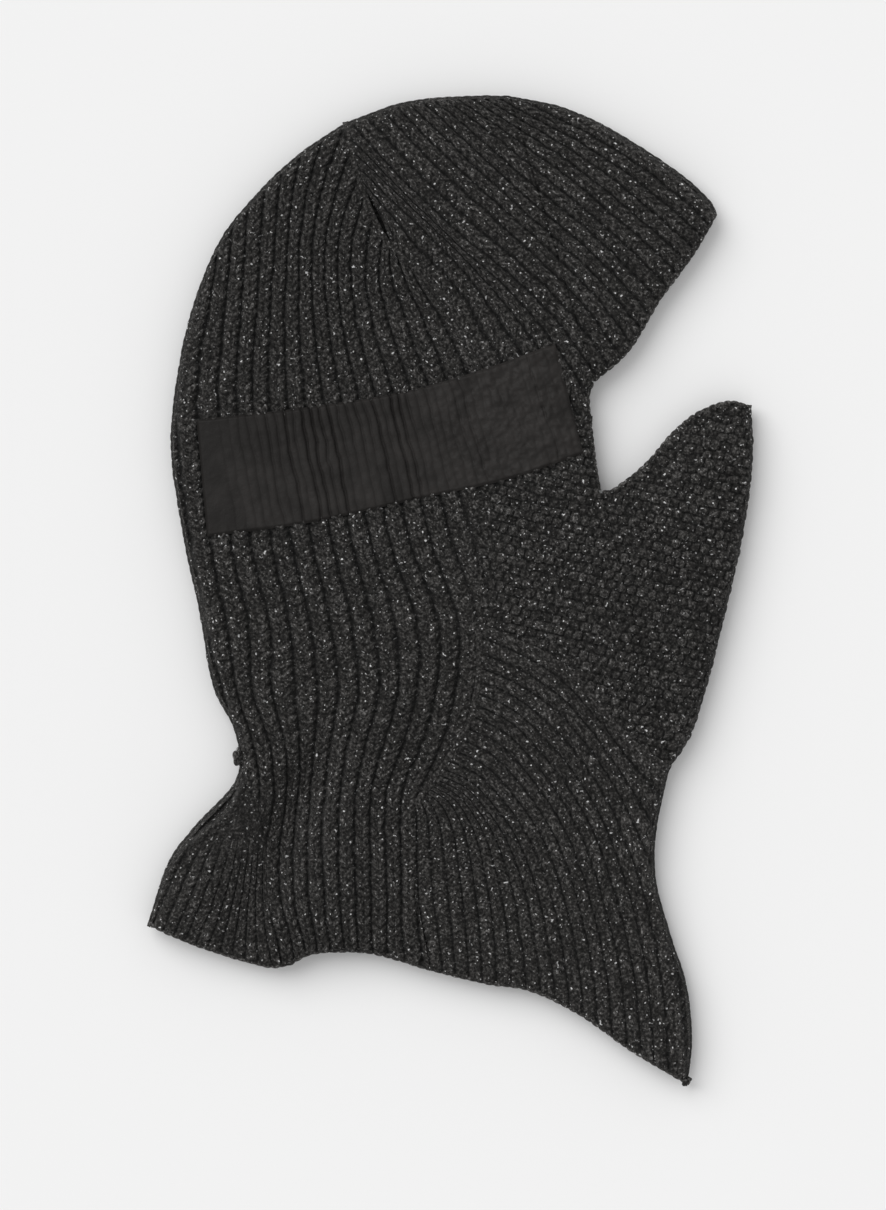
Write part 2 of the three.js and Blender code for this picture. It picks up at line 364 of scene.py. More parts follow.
# ---------- nets: where each rib and each course runs ----------
def hermite(knots, values, at):
    """A smooth curve through values at knots, read at at; values may be points or rows of points."""
    knots, values = np.asarray(knots, float), np.asarray(values, float)
    slope = np.gradient(values, knots, axis=0)
    i = np.clip(np.searchsorted(knots, at) - 1, 0, len(knots) - 2)
    h = (knots[i + 1] - knots[i])
    t = (at - knots[i]) / h
    shape = (-1,) + (1,) * (values.ndim - 1)
    t, h = t.reshape(shape), h.reshape(shape)
    return ((2 * t**3 - 3 * t**2 + 1) * values[i] + (t**3 - 2 * t**2 + t) * h * slope[i]
            + (-2 * t**3 + 3 * t**2) * values[i + 1] + (t**3 - t**2) * h * slope[i + 1])


class Net:
    """Guide ribs, each with its number and its points at shared course lines."""

    spare_ribs = 3.0      # how far a net goes on past its outer guides, in ribs
    spare_length = 14.0   # and past its guides' ends, in millimetres

    def __init__(self, guides, course):
        ribs = np.array([g[0] for g in guides], float)
        points = np.array([g[1] for g in guides], float)
        before = points[0] + (points[0] - points[1]) / (ribs[1] - ribs[0]) * self.spare_ribs
        after = points[-1] + (points[-1] - points[-2]) / (ribs[-1] - ribs[-2]) * self.spare_ribs
        self.ribs = np.concatenate([[ribs[0] - self.spare_ribs], ribs, [ribs[-1] + self.spare_ribs]])
        points = np.concatenate([before[None], points, after[None]])
        head = points[:, 0] - points[:, 1]
        tail = points[:, -1] - points[:, -2]
        head *= self.spare_length / np.linalg.norm(head, axis=1, keepdims=True)
        tail *= self.spare_length / np.linalg.norm(tail, axis=1, keepdims=True)
        first, last = (points[:, 0] + head)[:, None], (points[:, -1] + tail)[:, None]
        self.points = np.concatenate([first, points, last], axis=1)
        spans = np.linalg.norm(np.diff(self.points, axis=1), axis=2).mean(axis=0)
        self.courses = np.concatenate([[0], np.cumsum(spans)]) / course

    def grid(self, a, b):
        along = np.stack([hermite(self.courses, guide, b) for guide in self.points])
        return hermite(self.ribs, along, a)


# The head's ribs run from the hem up to the crown; the last guide is the line where the brow's fan begins.
HEAD_NET = Net([
    (-0.5, [(-84, -162), (-88, -145), (-90, -130), (-90, -110), (-86, -86), (-89.5, -65), (-94.5, -45),
            (-103, -14), (-108.3, 17.5), (-113, 50), (-115.3, 82), (-109.2, 116), (-105, 132), (-101, 149),
            (-98, 172), (-92, 202)]),
    (1.5, [(-70, -162), (-73, -145), (-77, -130), (-77.5, -110), (-74, -85), (-75.5, -65), (-82.3, -45),
           (-84.5, -14), (-91.5, 17.5), (-95, 50), (-97.3, 82), (-94.5, 116), (-93, 132), (-91.5, 149),
           (-89, 172), (-84, 202)]),
    (4.5, [(-54, -161), (-56.6, -145), (-59, -130), (-60, -110), (-58.6, -85), (-57, -65), (-55.7, -45),
           (-58.8, -14), (-65.9, 17.5), (-71, 50), (-75.8, 82), (-75.2, 116), (-74.3, 132), (-73.3, 149),
           (-71.2, 172), (-65, 202)]),
    (7.5, [(-37, -161), (-39, -145), (-39.6, -130), (-40, -110), (-39.6, -85), (-35.6, -65), (-30.2, -45),
           (-32.3, -14), (-40.4, 17.5), (-47, 50), (-53.3, 82), (-57.4, 116), (-57.9, 132), (-57.4, 149),
           (-52.6, 172), (-41, 202)]),
    (10.5, [(-18, -164), (-20, -145), (-20, -130), (-20.6, -110), (-20, -85), (-12, -65), (-6.5, -45),
            (-5, -14), (-16, 17.5), (-23.5, 50), (-31.4, 82), (-39.7, 116), (-41.5, 132), (-40.4, 149),
            (-33, 172), (-20, 202)]),
    (12.5, [(-1, -166), (-6, -145), (-8, -130), (-8.5, -110), (-6, -87), (4, -66), (9.8, -46), (11.8, -14),
            (2, 17.5), (-7.5, 50), (-16, 82), (-26.6, 116), (-29.8, 131), (-28, 149), (-20, 172),
            (-8, 202)]),
    (14.5, [(14, -168), (9, -145), (5, -130), (4, -110), (8, -88), (20, -68), (26, -46), (28.5, -14),
            (19.5, 17.5), (10, 50), (0.5, 82), (-12.3, 116), (-19, 131), (-23, 147), (-15, 172),
            (-3, 202)]),
    (16.5, [(28, -170), (24, -146), (18, -130), (17, -111), (22, -89), (35, -70), (42, -48), (45, -14),
            (37, 17.5), (28, 50), (20, 82), (2, 116), (-9, 129), (-19, 145), (-10, 172), (2, 202)]),
], course=4.1)

# The narrow ribs of the hem's back corner.
TIP_NET = Net([
    (-0.5, [(-134, -150), (-126, -130), (-116, -110), (-104, -94), (-90, -76)]),
    (5, [(-108, -158), (-99, -136), (-93, -117), (-89, -100), (-84, -78)]),
    (11, [(-70, -165), (-76, -140), (-77.5, -119), (-77, -101), (-73.5, -78)]),
], course=3.6)

# The brow's ribs fan out from the dart and the crown down to the brim's edge and the face opening.
FAN_NET = Net([
    (16.5, [(-28, 156), (-14.7, 134.8), (-6, 125.5), (2, 116), (10, 98), (20, 82), (30, 62)]),
    (18.5, [(-33, 172), (-9.7, 149.2), (-1, 141), (7, 132), (19.9, 114.2), (32, 96), (44, 74)]),
    (21.5, [(-38, 192), (-17.8, 170.1), (-4, 157), (8, 146), (27.1, 130.8), (44, 114), (60, 92)]),
    (23.5, [(-28, 201), (-6, 178), (8, 165), (21, 153.5), (39, 137), (57, 118.5), (72, 98)]),
    (26.5, [(-14, 207), (8, 187), (24, 172), (37, 160.5), (55, 145.5), (72, 129), (90, 108)]),
    (30, [(2, 209), (26, 193), (42, 182), (57, 171), (74, 156.5), (90, 142.5), (108, 123)]),
    (33.5, [(24, 209), (46, 197.5), (60, 190.5), (74, 182), (92, 168.5), (107, 155.5), (124, 138)]),
    (37, [(48, 221), (66, 212), (78, 206), (91, 198), (108, 185), (123, 171), (138, 154)]),
], course=4.1)

# The neck's ribs start on the mitre seam and arc down to the hem.
NECK_NET = Net([
    (-0.5, [(10, -12), (30, -20.5), (47, -30.5), (62, -46), (76, -62), (92, -74), (112, -88), (135, -104)]),
    (2.5, [(9, -31), (28, -39), (45, -51), (59, -67), (71, -86), (83, -112), (93, -147), (100, -200)]),
    (6.2, [(4.5, -49), (25.6, -59.7), (42.4, -78.9), (51, -92), (58.5, -107), (66.3, -131.5),
           (72.5, -157), (77, -205)]),
    (11.5, [(-7, -73), (9, -80.5), (20, -92), (27, -102), (32.5, -114), (38, -132), (42.4, -155.5),
            (45.5, -195)]),
    (16.9, [(-12.5, -82), (-2, -89), (3, -98), (5.5, -107), (7, -117), (8.8, -130), (10.4, -147),
            (12, -185)]),
    (20.7, [(-16, -87), (-15, -95), (-15, -103), (-15, -111), (-14.8, -120), (-14, -132), (-11.7, -147),
            (-6, -180)]),
    (24, [(-30, -95), (-32, -103), (-33, -111), (-33, -118), (-33, -126), (-33, -136), (-31, -150),
          (-25, -182)]),
], course=3.6)

WAFFLE_PITCH = 4.3
WAFFLE_SQUASH = 0.92   # height of a waffle stitch as a share of its width
WAFFLE_TURN = math.radians(-14)
WAFFLE_START = np.array([5.0, -90.0])
WAFFLE_ACROSS = np.array([math.cos(WAFFLE_TURN), math.sin(WAFFLE_TURN)])
WAFFLE_UP = np.array([-WAFFLE_ACROSS[1], WAFFLE_ACROSS[0]])


def waffle_point(a, b):
    """Where column a and row b of the waffle meet."""
    return (WAFFLE_START + WAFFLE_ACROSS * a * WAFFLE_PITCH
            + WAFFLE_UP * b * WAFFLE_PITCH * WAFFLE_SQUASH)


WAFFLE_NET = Net([(a, [waffle_point(a, b) for b in range(-8, 49, 8)]) for a in range(-8, 41, 8)],
                 course=WAFFLE_PITCH * WAFFLE_SQUASH)


# ---------- the ear patch's outline ----------
PATCH_TOP = [(-106.3, 71.6), (-62, 76.5), (-21, 83), (12, 92), (44, 103.5)]
PATCH_LOW = [(56, 57.5), (24, 46.5), (-12.6, 38.5), (-58, 28.5), (-101.8, 22.5)]
PATCH_STAND = 1.1      # height of the coating above the knit's own face
in_patch = signed(np.vstack([catmull(PATCH_TOP, 12), catmull(PATCH_LOW, 12)]))


# ---------- meshes ----------
def quads(nx, ny, keep=None):
    """Quads of an nx by ny grid of points, less those whose corners keep leaves out."""
    i, j = np.meshgrid(np.arange(nx - 1), np.arange(ny - 1), indexing="ij")
    corner = i * ny + j
    q = np.stack([corner, corner + ny, corner + ny + 1, corner + 1], axis=-1).reshape(-1, 4)
    return q if keep is None else q[keep[q].all(axis=1)]


def facing(points, faces, out):
    """The faces, turned over if need be, so that they look the way out points."""
    a, b, c = (points[faces[:, k]] for k in range(3))
    looks = (np.cross(b - a, c - a) * out[faces[:, 0]]).sum()
    return faces if looks > 0 else faces[:, ::-1]


def upright(points, way):
    """A direction straight up or down for every point."""
    return np.tile([0.0, 0.0, float(way)], (len(points), 1))


class Patchwork:
    """Points, faces and stitch facts gathered for one object."""

    def __init__(self):
        self.points, self.faces, self.stitch, self.yarn, self.count = [], [], [], [], 0

    def add(self, points, faces, height, number, yarn):
        used = np.unique(faces)
        place = np.full(len(points), -1)
        place[used] = np.arange(len(used)) + self.count
        self.points.append(points[used])
        self.faces.append(place[faces])
        # The first value of each point's stitch attribute is the share that sets the material's painted
        # groove shade.
        self.stitch.append(np.stack([height, number, np.zeros(len(points))], axis=1)[used])
        self.yarn.append(np.column_stack([yarn, number * 20])[used])
        self.count += len(used)

    def build(self, name, material):
        points = np.concatenate(self.points) * MM
        faces = np.concatenate(self.faces)
        mesh = bpy.data.meshes.new(name)
        mesh.vertices.add(len(points))
        mesh.vertices.foreach_set("co", points.astype(np.float32).ravel())
        mesh.loops.add(faces.size)
        mesh.loops.foreach_set("vertex_index", faces.astype(np.int32).ravel())
        mesh.polygons.add(len(faces))
        mesh.polygons.foreach_set("loop_start", np.arange(0, faces.size, 4, dtype=np.int32))
        mesh.polygons.foreach_set("loop_total", np.full(len(faces), 4, dtype=np.int32))
        mesh.update(calc_edges=True)
        mesh.validate()
        for label, rows in (("stitch", self.stitch), ("yarn", self.yarn), ("rest", self.points)):
            attribute = mesh.attributes.new(label, "FLOAT_VECTOR", "POINT")
            attribute.data.foreach_set("vector", np.concatenate(rows).astype(np.float32).ravel())
        mesh.polygons.foreach_set("use_smooth", np.ones(len(faces), bool))
        piece = bpy.data.objects.new(name, mesh)
        bpy.context.scene.collection.objects.link(piece)
        mesh.materials.append(material)
        return piece


def gradient(field, points, step=0.7):
    """The way in which the field grows fastest, as a unit arrow at each point."""
    dx, dy = np.array([step, 0]), np.array([0, step])
    g = np.stack([field(points + dx) - field(points - dx), field(points + dy) - field(points - dy)], axis=1)
    return g / np.maximum(np.linalg.norm(g, axis=1, keepdims=True), 1e-9)


def layer_points(flat, relief, layer):
    """Points of one layer's outer face with its relief standing out of it."""
    if layer == UPPER:
        z = upper_height(flat) + relief
    else:
        z = lower_height(flat) - relief
    return np.column_stack([flat, z])


STITCH_LUMPS, GROUP_LUMPS = 0.75, 0.6  # unevenness of single stitches and of groups of them
PRESSED = 0.6                          # share of the relief that the ear patch presses flat


def knit_area(work, net, field, pattern, relief, layer, rib_samples, course_samples, uneven=0.14):
    """Adds the part of a net where field is positive, as a finely displaced sheet."""
    a = np.arange(net.ribs[0], net.ribs[-1], 1 / rib_samples)
    b = np.arange(net.courses[0], net.courses[-1], 1 / course_samples)
    flat = net.grid(a, b).reshape(-1, 2)
    depth = field(flat)
    keep = depth > -GRID * 0.75
    for _ in range(2):
        out = depth < 0
        flat[out] -= gradient(field, flat[out]) * depth[out, None]
        depth[out] = field(flat[out])
    A = np.repeat(a, len(b)) + uneven * lumps(flat, 4)
    B = np.tile(b, len(a)) + 0.45 * lumps(flat, 5, 1)
    height, number, yarn, high = pattern(flat, A, B, relief)
    height = height + STITCH_LUMPS * lumps(flat, 1.25) + GROUP_LUMPS * lumps(flat, 2.6, 1)
    height *= 1 - PRESSED * smooth(0.5, 3, in_patch(flat))
    points = layer_points(flat, height, layer)
    faces = facing(points, quads(len(a), len(b), keep), upright(points, 1 if layer == UPPER else -1))
    work.add(points, faces, high, number, yarn)


LINING_STEP = 3.0                      # spacing of the lining's points
LINING_LOW, LINING_HIGH = (-130.0, -211.0), (131.0, 211.0)


def lining(work, field, layer):
    """The knit's inner face, a plain sheet under the ribs."""
    x, y = (np.arange(low, high, LINING_STEP) for low, high in zip(LINING_LOW, LINING_HIGH))
    flat = np.stack(np.meshgrid(x, y, indexing="ij"), axis=-1).reshape(-1, 2)
    depth = field(flat)
    keep = depth > -LINING_STEP * 0.7
    for _ in range(3):
        out = keep & (depth < 0)
        flat[out] -= gradient(field, flat[out]) * depth[out, None]
        depth[out] = field(flat[out])
    shift = -KNIT if layer == UPPER else KNIT
    z = (upper_height(flat) if layer == UPPER else lower_height(flat)) + shift
    z = np.where(depth > 0, z, z - shift * 0.3)
    points = np.column_stack([flat, z])
    faces = facing(points, quads(len(x), len(y), keep), upright(points, -1 if layer == UPPER else 1))
    nothing = np.zeros(len(flat))
    # The lining carries a low share, so the material paints it in deep painted shade.
    work.add(points, faces, nothing + 0.3, nothing + 0.5, flat.copy())


def left_of(line):
    """A unit arrow to the line's left at each of its points."""
    ahead = np.gradient(line, axis=0)
    ahead /= np.linalg.norm(ahead, axis=1, keepdims=True)
    return np.column_stack([-ahead[:, 1], ahead[:, 0]])


# ---------- folds: the knit turning round from one layer to the other ----------
FOLD_SHARE = 0.28    # share of a pattern's relief that is left on the turn
FOLD_OVERLAP = 1.08  # how far the turn reaches under the panels beside it


def fold_piece(name, curves, inward, pattern, relief, course, material):
    line = path(*curves, step=GRID)
    inner = left_of(line) * inward
    reach = math.acos(1 - STRIP / FOLD) * FOLD_OVERLAP
    turn = np.linspace(-reach, reach, 25)
    at_edge = line + inner * FOLD
    top, bottom = upper_height(at_edge), lower_height(at_edge)
    s = lengths(line)
    S, T = np.meshgrid(np.arange(len(line)), turn, indexing="ij")
    S, T = S.ravel(), T.ravel()
    flat = line[S] + inner[S] * (FOLD * (1 - np.cos(T)))[:, None]
    rise = np.where(T > 0, top[S] - MIDDLE, MIDDLE - bottom[S]) * np.sin(T)
    relief = relief * FOLD_SHARE
    height, number, yarn, high = pattern(flat, T / reach, s[S] / course, relief)
    uneven = lumps(np.column_stack([s[S] / 2, T * 4]), 1.2)
    stand = height - relief * 0.6 * np.cos(T) + 0.22 * uneven - 0.3
    normal = np.column_stack([-inner[S] * np.cos(T)[:, None], np.sin(T)])
    points = np.column_stack([flat, MIDDLE + rise]) + normal * stand[:, None]
    work = Patchwork()
    faces = facing(points, quads(len(line), len(turn)), normal)
    work.add(points, faces, high, number, yarn)
    return work.build(name, material)


# ---------- open edges: each layer's rounded, cast-off rim ----------
UPPER_INSET, LOWER_INSET = 1.2, 1.9  # how far each layer's rim sits inside the outline, in radii


def edge_piece(name, curves, inward, layer, pitch, relief, material):
    line = path(*curves, step=GRID)
    inner = left_of(line) * inward
    turn = np.radians(np.linspace(90, -90, 15))
    s = lengths(line)
    S, T = np.meshgrid(np.arange(len(line)), turn, indexing="ij")
    S, T = S.ravel(), T.ravel()
    inset = UPPER_INSET if layer == UPPER else LOWER_INSET
    flat = line[S] + inner[S] * (LIP * (inset - np.cos(T)))[:, None]
    outer = upper_height(line + inner * LIP) if layer == UPPER else lower_height(line + inner * LIP)
    way = 1 if layer == UPPER else -1
    phase = s[S] / pitch
    loop = np.abs(2 * (phase - np.floor(phase)) - 1)
    number = hashed(np.floor(phase), way * 5)
    height = relief * (1 - loop**2.4)**0.6 * (0.8 + 0.4 * number)
    base = outer[S] + way * (relief * 0.5 - LIP)
    normal = np.column_stack([-inner[S] * np.cos(T)[:, None], way * np.sin(T)])
    points = np.column_stack([flat, base + way * LIP * np.sin(T)])
    points += normal * (height - relief * 0.7 + 0.2 * lumps(flat, 1.1))[:, None]
    work = Patchwork()
    faces = facing(points, quads(len(line), len(turn)), normal)
    yarn = np.stack([s[S] + T, T * 2], axis=1)
    # This share sets painted shade between the rim's loops.
    work.add(points, faces, height / relief * 0.5 + 0.4, number, yarn)
    return work.build(name, material)


# ---------- seams: a low ridge of linked stitches ----------
def seam_piece(name, curve, layer, width, stand, pitch, material):
    line = path(curve, step=GRID)
    left = left_of(line)
    turn = np.radians(np.linspace(-90, 90, 11))
    s = lengths(line)
    S, T = np.meshgrid(np.arange(len(line)), turn, indexing="ij")
    S, T = S.ravel(), T.ravel()
    flat = line[S] + left[S] * (width / 2 * np.sin(T))[:, None]
    phase = s[S] / pitch - 0.35 * np.abs(np.sin(T))
    loop = np.abs(2 * (phase - np.floor(phase)) - 1)
    number = hashed(np.floor(phase), np.sign(T) + 21)
    height = (0.65 + 0.35 * (1 - loop**2.2)**0.6) * (0.9 + 0.2 * number)
    rise = stand * np.cos(T) * height - 0.6 * (1 - np.cos(T))
    points = layer_points(flat, rise, layer)
    work = Patchwork()
    faces = facing(points, quads(len(line), len(turn)), upright(points, 1 if layer == UPPER else -1))
    # This share sets painted shade between the seam's stitches.
    work.add(points, faces, height * 0.9, number, np.stack([s[S], T * 2], axis=1))
    return work.build(name, material)


# ---------- materials ----------
def shader(name, roughness, sheen):
    """A new material with its main shader, whose uniform values sit on its own sockets."""
    material = bpy.data.materials.new(name)
    material.use_nodes = True
    tree = material.node_tree
    main = tree.nodes["Principled BSDF"]
    main.inputs["Roughness"].default_value = roughness
    main.inputs["Specular IOR Level"].default_value = 0.14
    main.inputs["Sheen Weight"].default_value = sheen
    main.inputs["Sheen Roughness"].default_value = 0.45
    main.inputs["Sheen Tint"].default_value = (0.8, 0.79, 0.77, 1)
    return material, tree, main


def maths(tree, operation, first, second=0.0, clamp=False):
    made = tree.nodes.new("ShaderNodeMath")
    made.operation = operation
    made.use_clamp = clamp
    for socket, value in zip(made.inputs, (first, second)):
        if isinstance(value, (int, float)):
            socket.default_value = value
        else:
            tree.links.new(value, socket)
    return made.outputs[0]


def attribute(tree, name):
    made = tree.nodes.new("ShaderNodeAttribute")
    made.attribute_name = name
    return made.outputs["Vector"]


def noise(tree, coordinates, scale, detail=2.0, stretch=(1, 1, 1)):
    mapped = tree.nodes.new("ShaderNodeMapping")
    mapped.inputs["Scale"].default_value = stretch
    tree.links.new(coordinates, mapped.inputs["Vector"])
    made = tree.nodes.new("ShaderNodeTexNoise")
    made.inputs["Scale"].default_value = scale
    made.inputs["Detail"].default_value = detail
    tree.links.new(mapped.outputs[0], made.inputs["Vector"])
    return made.outputs["Fac"]


def ramp(tree, value, stops):
    made = tree.nodes.new("ShaderNodeValToRGB")
    elements = made.color_ramp.elements
    while len(elements) < len(stops):
        elements.new(0.5)
    for element, (at, colour) in zip(elements, stops):
        element.position = at
        element.color = (*colour, 1)
    tree.links.new(value, made.inputs["Fac"])
    return made.outputs["Color"]


def bumped(tree, main, height, distance, strength=1.0):
    made = tree.nodes.new("ShaderNodeBump")
    made.inputs["Distance"].default_value = distance
    made.inputs["Strength"].default_value = strength
    tree.links.new(height, made.inputs["Height"])
    tree.links.new(made.outputs[0], main.inputs["Normal"])


def grey(level, warm=0.0):
    return (level * (1 + warm), level, level * (1 - warm))


# The heathered yarn's greys, from its darkest fibres to its palest.
YARN_TONES = [
    (0.28, grey(0.0028, 0.05)),
    (0.42, grey(0.0115, 0.05)),
    (0.50, grey(0.0255, 0.05)),
    (0.58, grey(0.056, 0.04)),
    (0.66, grey(0.135, 0.03)),
    (0.78, grey(0.36, 0.02)),
]
FLECK = grey(0.62)
FLECK_FROM, FLECK_SHARPNESS = 0.715, 16
# Near-black colour of the painted shade deep between the stitches.
GROOVE_SHADE = grey(0.0025)
COATING_TONES = [(0.25, (0.0120, 0.0109, 0.0102)), (0.6, (0.0215, 0.0196, 0.0185))]


def yarn_material(name, painted_light_lift=0.0):
    """Heathered charcoal wool: mottled greys with a few pale flecks, and painted shade that darkens it deep
    between the stitches.
    """
    material, tree, main = shader(name, 0.88, 0.08)
    stitch = tree.nodes.new("ShaderNodeSeparateXYZ")
    tree.links.new(attribute(tree, "stitch"), stitch.inputs[0])
    high, number = stitch.outputs[0], stitch.outputs[1]
    rest, yarn = attribute(tree, "rest"), attribute(tree, "yarn")
    mottle = noise(tree, rest, 0.9, 3.0)
    streaks = noise(tree, yarn, 0.9, 2.0, (2.2, 1.0, 1))
    tone = maths(tree, "ADD", maths(tree, "MULTIPLY", mottle, 0.72), maths(tree, "MULTIPLY", streaks, 0.30))
    tone = maths(tree, "ADD", tone, maths(tree, "MULTIPLY", number, 0.05))
    # The lift raises the tone for a lighter copy of the knit: painted light.
    tone = maths(tree, "ADD", tone, painted_light_lift - 0.035)
    colour = ramp(tree, tone, YARN_TONES)
    fleck = noise(tree, rest, 0.83, 0.5)
    fleck = maths(tree, "MULTIPLY", maths(tree, "SUBTRACT", fleck, FLECK_FROM), FLECK_SHARPNESS, clamp=True)
    spot = tree.nodes.new("ShaderNodeMix")
    spot.data_type = "RGBA"
    tree.links.new(fleck, spot.inputs["Factor"])
    tree.links.new(colour, spot.inputs["A"])
    spot.inputs["B"].default_value = (*FLECK, 1)
    # Painted shade: the lower a point sits among its stitches, the more its colour is mixed towards the
    # near-black groove shade.
    unshaded_share = maths(tree, "ADD", maths(tree, "MULTIPLY", high, 1.1), 0.16, clamp=True)
    depth = maths(tree, "POWER", unshaded_share, 1.2)
    dark = tree.nodes.new("ShaderNodeMix")
    dark.data_type = "RGBA"
    dark.inputs["A"].default_value = (*GROOVE_SHADE, 1)
    tree.links.new(depth, dark.inputs["Factor"])
    tree.links.new(spot.outputs["Result"], dark.inputs["B"])
    tree.links.new(dark.outputs["Result"], main.inputs["Base Color"])
    fibres = noise(tree, yarn, 3.2, 3.0, (2.4, 0.8, 1))
    bumped(tree, main, fibres, 0.0005, 0.8)
    return material


def coated_material():
    """Matt, warm grey-brown coating with a fine leathery grain."""
    material, tree, main = shader("coated_patch", 0.62, 0.0)
    rest = attribute(tree, "rest")
    place = tree.nodes.new("ShaderNodeSeparateXYZ")
    tree.links.new(rest, place.inputs[0])
    towards_face = maths(tree, "MULTIPLY", place.outputs[0], 0.0022)
    broad = maths(tree, "ADD", noise(tree, rest, 0.09, 2.0), towards_face)
    tone = ramp(tree, broad, COATING_TONES)
    tree.links.new(tone, main.inputs["Base Color"])
    rough = maths(tree, "ADD", maths(tree, "MULTIPLY", noise(tree, rest, 0.5, 2.0), 0.16), 0.50)
    tree.links.new(rough, main.inputs["Roughness"])
    grain = noise(tree, rest, 1.3, 3.0)
    bumped(tree, main, grain, 0.00025, 0.7)
    return material


wool = yarn_material("knit")
# A lighter copy of the knit for the open edges' rims and the nape gather: painted light on the rims.
lit_wool_edge = yarn_material("knit_edge", 0.03)
coating = coated_material()


# ---------- the panels ----------
within = signed(outline("back", "crownTop", "brimTop", "brimEdge", "faceTop", "faceLow",
                        "maskTop", "maskFront", "neckFront", "hemFront", "hemBack"))


def panel_field(*curves, reach=0.0):
    """Positive where a panel's knit lies: inside its curves, short of the folds and open edges."""
    inner = signed(outline(*curves))

    def field(points):
        short = np.minimum(to_fold(points) - STRIP, to_open(points) - EDGE_GAP)
        return np.minimum(np.minimum(inner(points) + reach, short), within(points) - EDGE_GAP)
    return field


head_field = panel_field("back", "dart", "cheek", "mitre", "neckSplit", "hemBack", reach=0.5)
cheek_field = panel_field("cheek", "faceLow", "maskFold", "jaw", reach=0.5)
brow_field = panel_field("crownTop", "brimFold", "faceTop", "dart", reach=0.5)
brim_field = panel_field("brimTop", "brimEdge", "brimFold", reach=0.8)
mask_field = panel_field("maskTop", "maskFront", "maskFold", reach=0.8)
neck_field = panel_field("jaw", "neckFront", "hemFront", "neckSplit", "mitre", reach=0.5)
tip_line = catmull(CURVES["tip"], 12)
tip_side = signed(np.vstack([tip_line, [(-145, -165), (-145, -66)]]))
to_cheek = Raster(lambda p: distance_to(path("cheek"), p))
to_dart = Raster(lambda p: distance_to(path("dart"), p))
to_mitre = Raster(lambda p: distance_to(path("jaw", "mitre"), p))


def main_field(points):
    return np.minimum(head_field(points), 0.3 - tip_side(points))


def tip_field(points):
    return np.minimum(head_field(points), tip_side(points) + 0.3)


EVEN_SHADE_LEVEL = 0.5       # how much of the knit's colour the painted groove shade leaves where its relief has faded away
FINE_RIB_SHADE_SCALE = 0.82      # scale on the finer ribs' height share, which gives them more painted groove shade beside the chunky ones


def eased(pattern, *fades):
    """The pattern with its relief fading near lines, each given as its distance, reach and share kept."""
    def made(flat, a, b, relief):
        height, number, yarn = pattern(a, b, relief)
        # high is how far each point stands out among its stitches; the material paints shade where it is
        # low.
        high = height / relief * (FINE_RIB_SHADE_SCALE if pattern is fine_rib else 1)
        for distance, reach, share in fades:
            kept = share + (1 - share) * smooth(0, reach, distance(flat))
            height = height * kept
            high = EVEN_SHADE_LEVEL + (high - EVEN_SHADE_LEVEL) * kept
        return height, number, yarn, high
    return made


def tip_fade(flat):
    """How far a point is below the line where the hem corner's ribs begin."""
    return np.clip(-94 - flat[:, 1] - 0.25 * (flat[:, 0] + 100), 0, 40)


DART_FADE = (to_dart, 2.2, 0.1)
# Each area of knit: net, field, pattern, relief, points to a rib, points to a course, and its unevenness.
PANELS = {
    "head_panel": [
        (HEAD_NET, main_field, eased(rib, (to_cheek, 14, 0.5), DART_FADE, (to_mitre, 3, 0.5)),
         RIB_RELIEF, 10, 6),
        (TIP_NET, tip_field, eased(fine_rib, (tip_fade, 24, 0.15)), FINE_RELIEF, 7, 5),
        (WAFFLE_NET, cheek_field, eased(waffle, (to_cheek, 14, 0.75), (to_mitre, 3, 0.5)),
         WAFFLE_RELIEF, 7, 6, 0.4),
    ],
    "brow_panel": [(FAN_NET, brow_field, eased(rib, DART_FADE), FAN_RELIEF, 10, 6)],
    "brim_panel": [(FAN_NET, brim_field, eased(rib), FAN_RELIEF, 10, 6)],
    "mask_panel": [(WAFFLE_NET, mask_field, eased(waffle), WAFFLE_RELIEF, 7, 6, 0.4)],
    "neck_front_panel": [(NECK_NET, neck_field, eased(fine_rib, (to_mitre, 3, 0.4)), FINE_RELIEF, 8, 6)],
}

shown = {}
LOWER_DETAIL = 0.62  # share of the upper layer's points that the hidden lower layer has, each way


def panel_piece(name, layer):
    work = Patchwork()
    coarse = 1 if layer == UPPER else LOWER_DETAIL
    for net, field, pattern, relief, across, along, *uneven in PANELS[name]:
        knit_area(work, net, field, pattern, relief, layer, across * coarse, along * coarse, *uneven)
        lining(work, field, layer)
    return work.build(f"{name}_{layer}_knit", wool)


for layer in (UPPER, LOWER):
    for name in PANELS:
        shown[f"{name}_{layer}"] = panel_piece(name, layer)

# Each fold: curves, side that the garment is on, pattern, relief and course.
FOLD_PIECES = {
    "back_fold": (["back"], 1, rib, RIB_RELIEF, 4.1),
    "crown_fold": (["crownTop"], -1, rib, RIB_RELIEF, 4.1),
    "brim_top_fold": (["brimTop"], -1, rib, RIB_RELIEF, 4.1),
    "mask_front_seam": (["maskFront"], 1, waffle, WAFFLE_RELIEF, 4.0),
    "neck_front_fold": (["neckFront"], 1, fine_rib, FINE_RELIEF, 3.6),
}
for name, (curves, inward, pattern, relief, course) in FOLD_PIECES.items():
    shown[name] = fold_piece(f"{name}_knit", curves, inward, eased(pattern), relief, course, wool)

